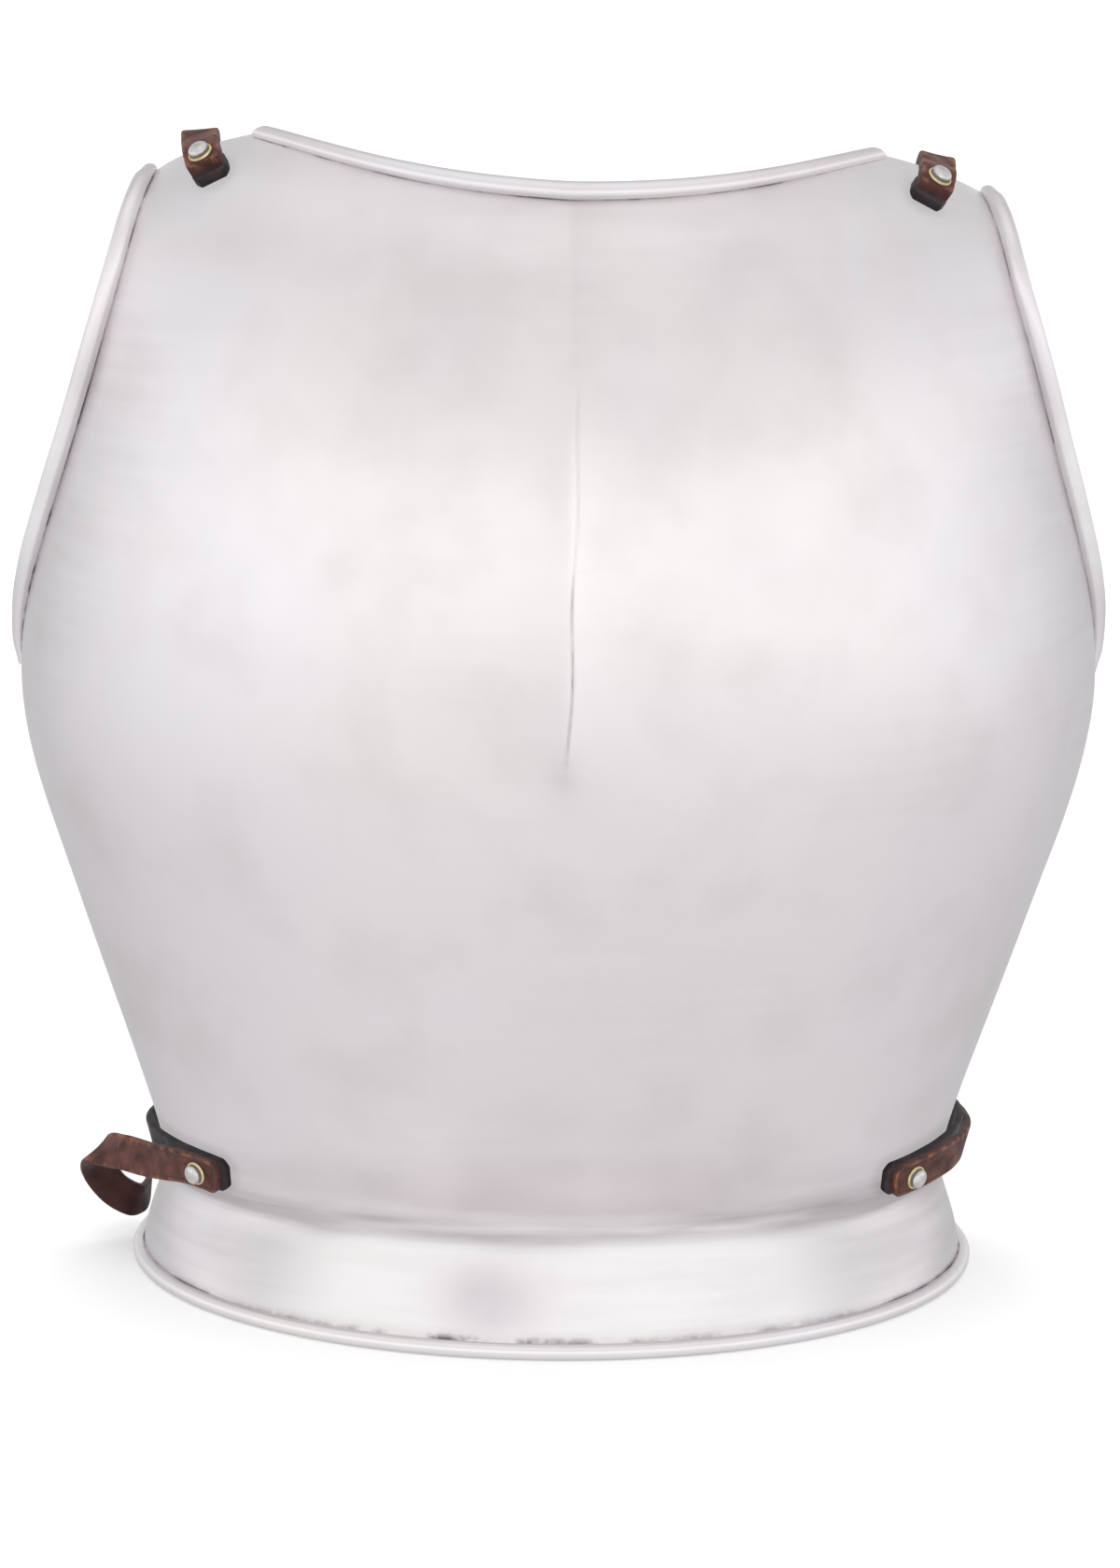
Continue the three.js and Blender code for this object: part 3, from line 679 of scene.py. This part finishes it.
def add_plate():
    columns = plate_columns()
    rows = plate_rows()
    count = len(columns)
    lift = np.maximum(0, rows - TRIM_FROM) / (TOP_HEIGHT - TRIM_FROM)
    across = np.broadcast_to(columns, (len(rows), count))
    trimmed = TRIM_FROM + lift[:, None] * (top_height(columns) - TRIM_FROM)
    height = np.where(rows[:, None] > TRIM_FROM, trimmed, rows[:, None])
    point, normal, right, _ = form_frame(across, height)
    off = hammered(point.reshape(-1, 3)).reshape(len(rows), count, 1)
    outer = point + normal * off
    inner = point + normal * (off - PLATE_THICKNESS)
    middle = point + normal * (off - PLATE_THICKNESS / 2)
    right_edge = middle[:, -1:] + right[:, -1:] * EDGE_BULGE
    left_edge = middle[:, :1] - right[:, :1] * EDGE_BULGE
    loops = np.concatenate([outer, right_edge, inner[:, ::-1], left_edge], axis=1)
    vertices = loops.reshape(-1, 3)
    outside = np.zeros(loops.shape[:2])
    outside[:, :count] = 1
    outside = outside.reshape(-1)

    def around(table):
        return np.concatenate([table, table[:, -1:], table[:, ::-1], table[:, :1]], axis=1).reshape(-1)

    x = vertices[:, 0]
    heights = around(height)
    places = around(across)
    # Painted shade with the smudge and keel line, and painted highlights, go into the steel's colour
    dull = shade_and_smudge_places(vertices, places, heights) + strap_shade(vertices)
    add_piece("plate_shell", vertices, plate_faces(len(rows), count), STEEL, "steel", "breastplate", sharp=50,
              grime=seam_grime(x, heights) * outside, crease=dull * outside,
              rubbed=rubbed_places(x, places, heights) * outside, cool=smooth_step(np.abs(x), 40, 165),
              violet=violet_cast(x, heights))


# Rolled edges
def edge_stations():
    """Stations along each rolled edge: across and height, with the roll's radii."""
    neck = np.linspace(-NECK_END, NECK_END, NECK_STATIONS)
    arm = np.linspace(ARMPIT_HEIGHT, TOP_HEIGHT, ARM_STATIONS)
    rim = np.linspace(-1, 1, RIM_STATIONS)
    return {
        "neck_roll": (neck, top_height(neck), NECK_RADII),
        "arm_roll_left": (-np.ones_like(arm), arm, ARM_RADII),
        "arm_roll_right": (np.ones_like(arm), arm, ARM_RADII),
        "rim_roll": (rim, np.full_like(rim, RIM_HEIGHT), RIM_RADII),
    }


def roll_line(name, across, height, radii):
    """Centres of a roll, its radius, and the directions out of the plate and past its edge."""
    radius = natural_spline(np.linspace(0, 1, len(radii)), radii)(np.linspace(0, 1, len(across)))
    point, normal, _, _ = form_frame(across, height)
    if name == "rim_roll":
        normal = unit(normal * (1, 1, 0))
    centre = point + normal * (radius - PLATE_THICKNESS)[:, None]
    if name == "rim_roll":
        centre[:, 2] = radius
    along = unit(np.gradient(centre, axis=0))
    past = unit(np.cross(along, normal))
    chest = form_point(0, CHEST_HEIGHT) + np.array([0, CHEST_DEPTH, 0])
    past *= np.sign(np.sum(past * (centre - chest), axis=1))[len(past) // 2]
    normal = unit(normal - along * np.sum(normal * along, axis=1, keepdims=True))
    return centre, radius, normal, past


def roll_finish(name, from_end, height):
    """A roll's flatness, slant of its cut ends, and painted highlight, by distance from its end and by
    height.
    """
    flat = np.ones_like(from_end)
    cut = np.zeros_like(from_end)
    bright = np.zeros_like(from_end)
    if name == "neck_roll":
        flat = flat * NECK_FLAT
        cut = NECK_CUT * np.maximum(0, 1 - from_end / NECK_CUT_LENGTH)
    elif name == "rim_roll":
        bright = bright + RIM_HIGHLIGHT
    else:
        flat = ARM_END_FLAT + (1 - ARM_END_FLAT) * smooth_step(from_end, 0, ARM_END_LENGTH)
        # Painted highlight half way up the arm's roll
        bright = ARM_HIGHLIGHT * smooth_step(height, 245, 275) * smooth_fall(height, 300, 325)
    return flat[:, None], cut[:, None], bright[:, None]


def add_roll(name, stations):
    """A rolled edge: sheet turned outwards and over, its lip coming down on the plate's outer face."""
    centre, radius, normal, past = roll_line(name, *stations)
    radius = (radius * (1 + ROLL_UNEVEN * smooth_noise(centre, 14, seed=5)))[:, None]
    run = run_along(centre)
    flat, cut, bright = roll_finish(name, np.minimum(run, run[-1] - run), centre[:, 2])
    last = math.pi + np.arcsin(1 - (PLATE_THICKNESS - LIP_BITE) / (flat * radius))
    steps = np.concatenate([np.linspace(0, TURN_END, TURN_STEPS), LIP_STEPS])
    angle = -math.pi / 2 + (last + math.pi / 2) * steps
    reach = radius * np.cos(angle)
    rise = radius * (flat * (1 + np.sin(angle)) - 1)
    inward = unit(np.gradient(centre, axis=0)) * np.where(run < run[-1] / 2, 1, -1)[:, None]
    slant = cut * (1 + np.cos(angle)) / 2
    rings = centre[:, None] + reach[..., None] * past[:, None] + rise[..., None] * normal[:, None]
    rings = rings + slant[..., None] * inward[:, None]
    off_plate = radius - PLATE_THICKNESS + rise
    # Dirt and painted shade on the lip where it comes down on the plate
    grime = LIP_DARK * np.where(angle > math.pi, np.clip(1 - off_plate / LIP_GRIME_AND_SHADE, 0, 1), 0)
    bright = np.broadcast_to(bright, grime.shape)
    if np.dot(np.cross(past[0], normal[0]), centre[1] - centre[0]) < 0:
        rings = rings[::-1]
        grime = grime[::-1]
        bright = bright[::-1]
    clean = np.zeros(grime.size)
    add_piece(name, rings.reshape(-1, 3), ring_faces(len(centre), len(steps)), STEEL, "steel", "breastplate",
              grime=grime.reshape(-1), crease=clean, rubbed=bright.reshape(-1), cool=clean + ROLL_COOL,
              violet=clean)


# Leather straps
LOWER_SHOULDER = SHOULDER_RIVET["lower_gap"] + SHOULDER_LEATHER / 2
UPPER_SHOULDER = LOWER_SHOULDER + SHOULDER_LEATHER + SHOULDER_GAP

# Shoulder straps: height above the rivet, and distance of the strap's middle from the plate
SHOULDER_BACKING = ((-3.5, LOWER_SHOULDER), (0, LOWER_SHOULDER), (3.4, LOWER_SHOULDER))
SHOULDER_STRAP = (
    (-2.8, UPPER_SHOULDER), (0, UPPER_SHOULDER), (4.4, UPPER_SHOULDER - 0.1), (9, UPPER_SHOULDER - 1.7),
)
# Their hanging part: how far its width turns from the edge's slope to level, how far it stands out to the
# side, and its stations' distances behind and above the shoulder's edge
HANGING = {
    "left": {"level": 0.7, "outward": 1.6, "stations": ((0.5, 3.4), (7.4, 1.2), (10.4, -5), (10.4, -20))},
    "right": {"level": 0.3, "outward": 1.6, "stations": ((0.5, 3), (6.4, -0.2), (8.2, -7), (8.2, -20))},
}

LOWER_WAIST = WAIST_RIVET["lower_gap"] + WAIST_LEATHER / 2
UPPER_WAIST = LOWER_WAIST + WAIST_LEATHER + LAYER_GAP

# Waist straps: across, height above the rivet, and distance of the strap's middle from the plate
LOWER_STRAP = (
    (0.54, -0.5, LOWER_WAIST), (0.6, 0, LOWER_WAIST), (0.7, -0.5, LOWER_WAIST), (0.8, -1.5, LOWER_WAIST),
    (0.9, -3, LOWER_WAIST + 0.2), (1, -4.5, LOWER_WAIST + 0.3), (1.04, -5, LOWER_WAIST - 0.6),
    (1.06, -5, -1.5), (1.03, -5, -4.6), (0.98, -5, -4.6), (0.92, -5, -4.6),
)
# How many of its stations lie on the plate's outer face
LOWER_STRAP_OUTSIDE = 6
RIGHT_STRAP = (
    (0.55, -0.5, UPPER_WAIST), (0.6, 0, UPPER_WAIST), (0.68, -0.5, UPPER_WAIST + 0.3),
    (0.78, -2, UPPER_WAIST + 0.6), (0.88, -4, UPPER_WAIST + 0.7), (1, -6, UPPER_WAIST + 0.6),
    (1.07, -6.5, UPPER_WAIST - 1), (1.115, -6.5, -1.5), (1.08, -6.5, -7), (1.02, -6.5, -9), (0.94, -6.5, -9),
)
LEFT_STRAP_START = ((0.55, -0.5, UPPER_WAIST), (0.6, 0, UPPER_WAIST), (0.66, -1, UPPER_WAIST + 0.5))
# The left strap's free curl: place, and how far its width leans from upright in degrees
LEFT_STRAP_CURL = (
    (-145, -42, 42.5, 8), (-156, -29, 41, 26), (-165, -17, 37.5, 46), (-166, -8, 28, 42),
    (-160.5, -6.5, 19.5, 32), (-153.5, -4, 14.5, 22), (-150, 5, 13, 10), (-149.5, 16, 13, 4),
)


def on_plate(across, height, off, crossing=False):
    """A strap's station on the plate: its middle, and the direction of its width."""
    point, normal, right, up = form_frame(across, height)
    return point + normal * off, right if crossing else up


def shoulder_spot(side, rise):
    rivet = SHOULDER_RIVET
    return side * (rivet["across"] + rivet["lean"] * rise), rivet["height"] + rise


def shoulder_lying(side, rows):
    return [on_plate(*shoulder_spot(side, rise), off, crossing=True) for rise, off in rows]


def shoulder_hanging(side, hanging):
    edge, _, slope, _ = form_frame(*shoulder_spot(side, TOP_HEIGHT - SHOULDER_RIVET["height"]))
    width = slope + hanging["level"] * (np.array([1.0, 0, 0]) - slope)
    outward = side * hanging["outward"]
    return [(edge + (outward, behind, above), width) for behind, above in hanging["stations"]]


def waist_stations(side, rows):
    stations = []
    for across, rise, off in rows:
        share = max(0, across - WAIST_RIVET["across"]) / (1 - WAIST_RIVET["across"])
        height = WAIST_RIVET["height"] + rise + WAIST_CLIMB[side] * share
        stations.append(on_plate(side * across, height, off))
    return stations


def left_stations():
    curl = []
    for x, y, z, lean in LEFT_STRAP_CURL:
        angle = math.radians(lean)
        width = np.array([math.sin(angle), 0, math.cos(angle)])
        curl.append((np.array([x, y + STANDING_SHIFT, z]), width))
    return waist_stations(-1, LEFT_STRAP_START) + curl


def strap_line(stations, facing):
    """The strap's middle at even steps: points, directions across and out, and distance from its first end.
    Out is the grain side, which starts out towards facing."""
    path = centripetal([point for point, _ in stations], SPAN_SAMPLES)
    widths = centripetal([width for _, width in stations], SPAN_SAMPLES)
    run = run_along(path)
    length = run[-1]
    ends = np.array(END_STEPS)
    between = np.arange(END_LENGTH, length - END_LENGTH, STRAP_STEP)
    places = np.concatenate([ends, between, length - ends[::-1]])

    def pick(table):
        return np.stack([np.interp(places, run, table[:, k]) for k in range(3)], axis=1)

    points = pick(path)
    along = unit(np.gradient(points, places, axis=0))
    width = pick(widths)
    width = unit(width - along * np.sum(width * along, axis=1, keepdims=True))
    if np.dot(np.cross(along[0], width[0]), facing) < 0:
        width = -width
    return points, width, np.cross(along, width), places


def strap_loop(thickness):
    """A strap's section, once around it: side of the middle line (-1, 0 or 1), distance in from the side
    edge, and height off the middle."""
    half = thickness / 2
    corner = 0.55
    turn = np.radians([0, 22, 45, 68, 90])
    rounded = [(corner - corner * math.cos(a), half - corner + corner * math.sin(a)) for a in turn]
    inside = [(d, half) for d in (0.9, 1.2, 1.45, 1.7, 1.95, 2.2, 2.6, 3.4, 4.6)]
    quarter = [(0, 0), *rounded, *inside]
    top = [(1, d, o) for d, o in quarter] + [(0, None, half)] + [(-1, d, o) for d, o in quarter[::-1]]
    under = [(s, d, -o) for s, d, o in top[::-1]][1:-1]
    return top + under


def add_strap(name, stations, facing, thickness, material, slot, tooled=False, blunt=1.0):
    """A leather strip along its stations. blunt: share of the width left at its ends."""
    points, width, out, places = strap_line(stations, facing)
    from_end = np.minimum(places, places[-1] - places)
    half = STRAP_WIDTH / 2 * (blunt + (1 - blunt) * np.sin(np.pi / 2 * np.minimum(1, from_end / END_TAPER)))
    half = half + STRAP_UNEVEN * smooth_noise(points, 6, seed=3)
    bulge = STRAP_UNEVEN * smooth_noise(points, 9, seed=4)
    loop = strap_loop(thickness)
    rings = []
    flesh = []
    cut = []
    worn = []
    for j in range(len(places)):
        tooling = np.clip((TOOL_END - places[j]) / TOOL_FADE, 0, 1) if tooled else 0
        for side, inward, off in loop:
            across = 0 if side == 0 else side * max(0, half[j] - inward)
            edge = min(half[j] - abs(across), from_end[j])
            line = tooling * hump(edge, TOOL_INSET, TOOL_HALF_WIDTH) if off > 0 else 0
            level = off * (1 + bulge[j] / thickness)
            if edge <= WORN_EDGE and abs(off) > 0.3 * thickness:
                level -= math.copysign(WORN_SINK * (1 - edge / WORN_EDGE) ** 2, off)
            rings.append(points[j] + width[j] * across + out[j] * (level - TOOL_DEPTH * line))
            flesh.append(1.0 if off < -0.2 * thickness else 0.0)
            side_face = side != 0 and abs(off) < 0.44 * thickness
            cut.append(max(CUT_DARK * side_face, TOOL_DARK * line))
            worn.append(math.exp(-edge / RUBBED_EDGE) if off > 0 else FLESH_RUBBED)
    add_piece(name, np.array(rings), ring_faces(len(places), len(loop)), material, slot, name, sharp=60,
              mirrored=False, flesh=flesh, cut=cut, worn=worn)


# Rivets and washers
def turned(profile, place, normal):
    """A lathe shape about the plate's normal at place: profile is (radius, height off the plate's face)."""
    turn = Vector((0, 0, 1)).rotation_difference(Vector(normal))
    vertices = []
    for radius, height in profile:
        for k in range(LATHE_SEGMENTS):
            angle = 2 * math.pi * k / LATHE_SEGMENTS
            spot = Vector((radius * math.cos(angle), radius * math.sin(angle), height))
            vertices.append(np.array(turn @ spot) + place)
    return np.array(vertices)


def add_rivet(name, across, height, stack):
    """A domed rivet: head, shank and the peened tail inside the plate."""
    place, normal, _, _ = form_frame(across, height)
    seat = stack + 2 * LAYER_GAP + WASHER_THICKNESS
    tail = -PLATE_THICKNESS - 3 * LAYER_GAP
    angles = np.radians(DOME_DEGREES)
    dome = [(DOME_RADIUS * math.cos(a), DOME_FROM + DOME_RISE * math.sin(a)) for a in angles]
    profile = [(radius, tail + off) for radius, off in RIVET_TAIL]
    profile += [(radius, seat + off) for radius, off in (*RIVET_NECK, *dome, RIVET_TOP)]
    vertices = turned(profile, place, normal)
    dents = RIVET_DENT * smooth_noise(vertices, DENT_WAVELENGTH, seed=6)
    vertices = vertices + np.array(normal) * dents[:, None]
    # Painted shade on the rivet's neck and the dome's lower edge
    rim_shade = [0.9 * (0 < off < seat + 0.6) + 0.4 * (seat + 0.6 <= off < seat + 1) for _, off in profile]
    faces = ring_faces(len(profile), LATHE_SEGMENTS)
    add_piece(name, vertices, faces, RIVET_STEEL, "rivet_steel", name, sharp=35, mirrored=False,
              rim=np.repeat(rim_shade, LATHE_SEGMENTS))


def add_washer(name, across, height, stack):
    """A thin washer, slightly dished, with rounded edges."""
    place, normal, _, _ = form_frame(across, height)
    low = stack + LAYER_GAP
    high = low + WASHER_THICKNESS
    profile = [(radius, low + off) for radius, off in WASHER_LOWER]
    profile += [(radius, high + off) for radius, off in WASHER_UPPER]
    faces = ring_faces(len(profile), LATHE_SEGMENTS, capped=False)
    last = (len(profile) - 1) * LATHE_SEGMENTS
    for k in range(LATHE_SEGMENTS):
        after = (k + 1) % LATHE_SEGMENTS
        faces.append((last + k, last + after, after, k))
    # Painted shade on the washer under the dome and on its lower face
    rim_shade = [0.8 * (radius < 3.6 or off < low + 0.2) for radius, off in profile]
    add_piece(name, turned(profile, place, normal), faces, BRASS, "brass", name, sharp=40, mirrored=False,
              rim=np.repeat(rim_shade, LATHE_SEGMENTS))


# Assembly
SHOULDER_STACK = SHOULDER_RIVET["lower_gap"] + 2 * SHOULDER_LEATHER + SHOULDER_GAP
WAIST_STACK = WAIST_RIVET["lower_gap"] + 2 * WAIST_LEATHER + LAYER_GAP
RIVETS = (("shoulder", SHOULDER_RIVET, SHOULDER_STACK), ("waist", WAIST_RIVET, WAIST_STACK))


def add_shoulder_straps(side, hand):
    facing = form_frame(side * SHOULDER_RIVET["across"], SHOULDER_RIVET["height"])[1]
    strap = shoulder_lying(side, SHOULDER_STRAP) + shoulder_hanging(side, HANGING[hand])
    backing = shoulder_lying(side, SHOULDER_BACKING)
    add_strap(f"shoulder_strap_{hand}", strap, facing, SHOULDER_LEATHER, LEATHER, "leather", blunt=0.9)
    add_strap(f"shoulder_backing_{hand}", backing, facing, SHOULDER_LEATHER, DARK_LEATHER, "dark_leather",
              blunt=0.75)


def add_waist_straps(side, hand):
    facing = form_frame(side * WAIST_RIVET["across"], WAIST_RIVET["height"])[1]
    strap = left_stations() if side < 0 else waist_stations(side, RIGHT_STRAP)
    backing = waist_stations(side, LOWER_STRAP)
    add_strap(f"waist_strap_{hand}", strap, facing, WAIST_LEATHER, LEATHER, "leather", tooled=True, blunt=0.6)
    add_strap(f"waist_backing_{hand}", backing, facing, WAIST_LEATHER, DARK_LEATHER, "dark_leather",
              blunt=0.6)


for side, hand in ((-1, "left"), (1, "right")):
    add_shoulder_straps(side, hand)
    add_waist_straps(side, hand)
    for place, rivet, stack in RIVETS:
        add_rivet(f"rivet_{place}_{hand}", side * rivet["across"], rivet["height"], stack)
        add_washer(f"washer_{place}_{hand}", side * rivet["across"], rivet["height"], stack)
add_plate()
for name, stations in edge_stations().items():
    add_roll(name, stations)


# Studio, in metres. The room's level by the direction's height and by its depth, each from -1 to 1
WORLD_BY_HEIGHT = (
    (-1, 0.9), (-0.87, 0.93), (-0.6, 0.93), (-0.42, 0.96), (-0.26, 1.05), (-0.09, 1.08), (0.09, 1.4),
    (0.26, 1.2), (0.42, 1.03), (0.57, 0.955), (0.71, 0.96), (0.8, 1), (0.88, 1.1), (1, 1.15),
)
WORLD_BY_DEPTH = ((-1, 1), (-0.6, 0.985), (-0.3, 0.95), (0, 0.9), (0.35, 0.82), (0.7, 0.7), (1, 0.62))
FLOOR_HALF = 12
FLOOR_TONES = ((0.94, 0.94, 0.94), (0.96, 0.96, 0.96))


def add_floor():
    half = FLOOR_HALF
    corners = [(-half, -half, 0), (half, -half, 0), (half, half, 0), (-half, half, 0)]
    mesh = bpy.data.meshes.new("floor")
    mesh.from_pydata(corners, [], [(0, 1, 2, 3)])
    material, nodes, links, shader = new_material("pale_floor")
    tone = range_node(nodes, links, noise_node(nodes, links, scale=3, detail=2), 0.3, 0.7)
    links.new(mix_node(nodes, links, tone, *FLOOR_TONES), shader.inputs["Base Color"])
    shader.inputs["Roughness"].default_value = 0.9
    mesh.materials.append(material)
    floor = bpy.data.objects.new("floor", mesh)
    bpy.context.scene.collection.objects.link(floor)
    floor.visible_glossy = False


def add_softbox(name, place, aim, size, power):
    data = bpy.data.lights.new(name, "AREA")
    data.shape = "RECTANGLE"
    data.size, data.size_y = size
    data.energy = power
    light = bpy.data.objects.new(name, data)
    light.location = place
    light.rotation_mode = "QUATERNION"
    light.rotation_quaternion = (Vector(aim) - Vector(place)).to_track_quat("-Z", "Y")
    light.visible_glossy = False
    bpy.context.scene.collection.objects.link(light)


def ramp_node(nodes, links, source, stops):
    """Grey levels by source, which runs from -1 to 1."""
    ramp = nodes.new("ShaderNodeValToRGB")
    elements = ramp.color_ramp.elements
    while len(elements) < len(stops):
        elements.new(0.5)
    for element, (place, level) in zip(elements, stops):
        element.position = (place + 1) / 2
        element.color = (level, level, level, 1)
    links.new(range_node(nodes, links, source, -1, 1), ramp.inputs["Fac"])
    return ramp.outputs["Color"]


def set_world():
    """A pale room, brightest in front at eye level and high up, and darker behind."""
    world = bpy.data.worlds.new("studio")
    world.use_nodes = True
    nodes = world.node_tree.nodes
    links = world.node_tree.links
    direction = nodes.new("ShaderNodeSeparateXYZ")
    links.new(nodes.new("ShaderNodeTexCoord").outputs["Generated"], direction.inputs["Vector"])
    by_height = ramp_node(nodes, links, direction.outputs["Z"], WORLD_BY_HEIGHT)
    by_depth = ramp_node(nodes, links, direction.outputs["Y"], WORLD_BY_DEPTH)
    level = math_node(nodes, links, "MULTIPLY", by_height, by_depth)
    background = nodes["Background"]
    background.inputs["Color"].default_value = (1, 1, 1, 1)
    links.new(level, background.inputs["Strength"])
    bpy.context.scene.world = world


def add_camera():
    azimuth = math.radians(CAMERA_AZIMUTH)
    elevation = math.radians(CAMERA_ELEVATION)
    level = math.cos(elevation)
    back = Vector((math.sin(azimuth) * level, -math.cos(azimuth) * level, math.sin(elevation)))
    data = bpy.data.cameras.new("camera")
    data.lens = CAMERA_LENS
    data.sensor_width = CAMERA_SENSOR
    camera = bpy.data.objects.new("camera", data)
    camera.location = CAMERA_TARGET + back * CAMERA_DISTANCE
    camera.rotation_mode = "QUATERNION"
    roll = Quaternion((0, 0, 1), math.radians(CAMERA_ROLL))
    camera.rotation_quaternion = (-back).to_track_quat("-Z", "Y") @ roll
    bpy.context.scene.collection.objects.link(camera)
    bpy.context.scene.camera = camera


add_floor()
set_world()
add_softbox("ceiling_softbox", place=(0, 0, 6), aim=(0, 0, 0), size=(24, 24), power=900)
add_camera()
bpy.context.scene.view_settings.view_transform = "Standard"
